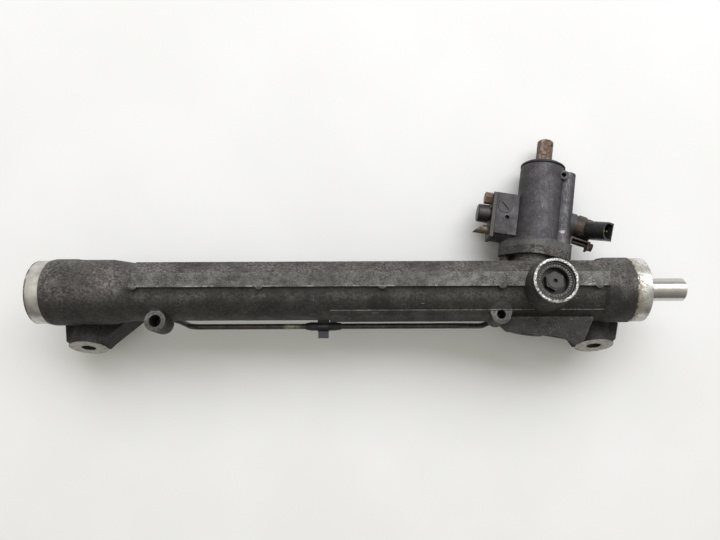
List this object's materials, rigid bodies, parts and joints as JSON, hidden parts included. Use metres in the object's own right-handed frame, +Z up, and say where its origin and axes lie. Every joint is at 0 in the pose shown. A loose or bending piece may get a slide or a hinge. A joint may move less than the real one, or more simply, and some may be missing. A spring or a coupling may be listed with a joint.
{
  "type": "hydraulic power steering rack",
  "caption": "Hydraulic power steering rack: cast housing, sliding toothed bar, leaning valve tower with input shaft, two rear mounting bosses and steel transfer pipes.",
  "frame": {"origin": "centre of the left end face of the housing, on the rack bar's axis", "axes": "+X along the rack bar towards the pinion end, +Y the way the input shaft's tower leans out, +Z up from the surface the part lies on"},
  "size_m": [0.675, 0.2389, 0.1294],
  "materials": {
    "cast_aluminium": "weathered grey casting with worn bright edges and oxide bloom",
    "valve_aluminium": "finer dark grey casting, a little smoother than the housing",
    "machined_aluminium": "turned bare aluminium",
    "bright_steel": "ground bar steel with light stains",
    "bearing_steel": "ground and polished bearing steel",
    "spring_steel": "oil-hardened spring steel",
    "dark_steel": "phosphated steel, dull and dark",
    "rusted_steel": "bare steel with brown surface rust",
    "dull_steel": "dull plated steel gone brownish grey",
    "pipe_steel": "dark coated pipe steel with one worn pale patch",
    "bronze": "brownish bronze",
    "brass_cage": "plain brass",
    "copper": "enamelled winding wire as a solid coil",
    "black_plastic": "matt black moulding",
    "black_rubber": "matt black rubber",
    "grey_rubber": "dusty grey rubber"
  },
  "bodies": {
    "housing": {"rack_housing": "cast_aluminium", "end_bushing": "machined_aluminium", "bushing_o_ring": "black_rubber", "bushing_retaining_ring": "spring_steel", "rack_seals": "black_rubber", "seal_support_rings": "black_plastic", "lower_bearing_outer_race": "bearing_steel", "pinion_end_cap": "machined_aluminium", "upper_pinion_bush": "bronze", "pinion_seal": "black_rubber", "valve_housing": "valve_aluminium", "valve_housing_gasket": "black_rubber", "valve_housing_bolts": "rusted_steel", "input_bearing": "bearing_steel", "input_shaft_seal": "black_rubber", "input_retaining_ring": "spring_steel", "dust_cap": "grey_rubber", "yoke_spring": "spring_steel", "adjuster_plug": "dark_steel", "port_plate": "dark_steel", "port_plate_bolt": "rusted_steel", "pressure_fitting": "black_plastic", "return_pipe_stub": "bronze", "port_seals": "black_rubber", "port_block_plug": "dark_steel", "solenoid_body": "dull_steel", "solenoid_coil": "copper", "solenoid_o_ring": "black_rubber", "solenoid_bracket": "dull_steel", "solenoid_screw": "dull_steel", "solenoid_connector": "black_plastic", "connector_pins": "brass_cage", "needle_spring": "spring_steel", "long_transfer_pipe": "pipe_steel", "short_transfer_pipe": "pipe_steel", "pipe_nuts": "pipe_steel", "pipe_sleeve": "black_rubber", "pipe_clip": "dark_steel"},
    "rack": {"rack_bar": "bright_steel", "piston": "machined_aluminium", "piston_seal_ring": "black_plastic", "piston_circlips": "spring_steel"},
    "pinion": {"pinion_shaft": "bright_steel", "lower_bearing_inner_race": "bearing_steel", "pinion_lock_nut": "dark_steel", "valve_sleeve": "bright_steel", "sleeve_seal_rings": "black_plastic"},
    "bearing_cage": {"lower_bearing_cage": "brass_cage", "lower_bearing_rollers": "bearing_steel"},
    "input": {"input_shaft": "rusted_steel", "torsion_bar": "spring_steel", "torsion_pin": "spring_steel"},
    "yoke": {"yoke": "machined_aluminium", "yoke_liner": "black_plastic", "yoke_o_rings": "black_rubber"},
    "needle": {"valve_needle": "bright_steel"}
  },
  "joints": [
    {"name": "rack_travel", "type": "slide", "parent": "housing", "child": "rack", "axis": [1, 0, 0], "range_m": [-0.075, 0.075]},
    {"name": "pinion_spin", "type": "hinge", "parent": "housing", "child": "pinion", "pos_m": [0.5195, -0.00346, -0.01627], "axis": [0.165, 0.9647, -0.2051], "range_deg": [-546.4, 546.4]},
    {"name": "cage_spin", "type": "hinge", "parent": "housing", "child": "bearing_cage", "pos_m": [0.51521, -0.02854, -0.01094], "axis": [0.165, 0.9647, -0.2051], "range_deg": [-219.4, 219.4]},
    {"name": "valve_twist", "type": "hinge", "parent": "pinion", "child": "input", "pos_m": [0.53931, 0.11231, -0.04088], "axis": [0.165, 0.9647, -0.2051], "range_deg": [-4.5, 4.5], "stiffness_Nm_per_rad": 60},
    {"name": "yoke_lift", "type": "slide", "parent": "housing", "child": "yoke", "axis": [0, 0.2079, 0.9781], "range_m": [0, 0.0001], "stiffness_N_per_m": 90000, "deforming": ["yoke_spring"]},
    {"name": "needle_stroke", "type": "slide", "parent": "housing", "child": "needle", "axis": [0.9426, -0.3265, 0.0694], "range_m": [0, 0.0012], "stiffness_N_per_m": 900, "deforming": ["needle_spring"]}
  ],
  "couplings": [
    {"joint": "pinion_spin", "follows": "rack_travel", "rad_per_m": 126.79},
    {"joint": "cage_spin", "follows": "rack_travel", "rad_per_m": 50.717}
  ]
}
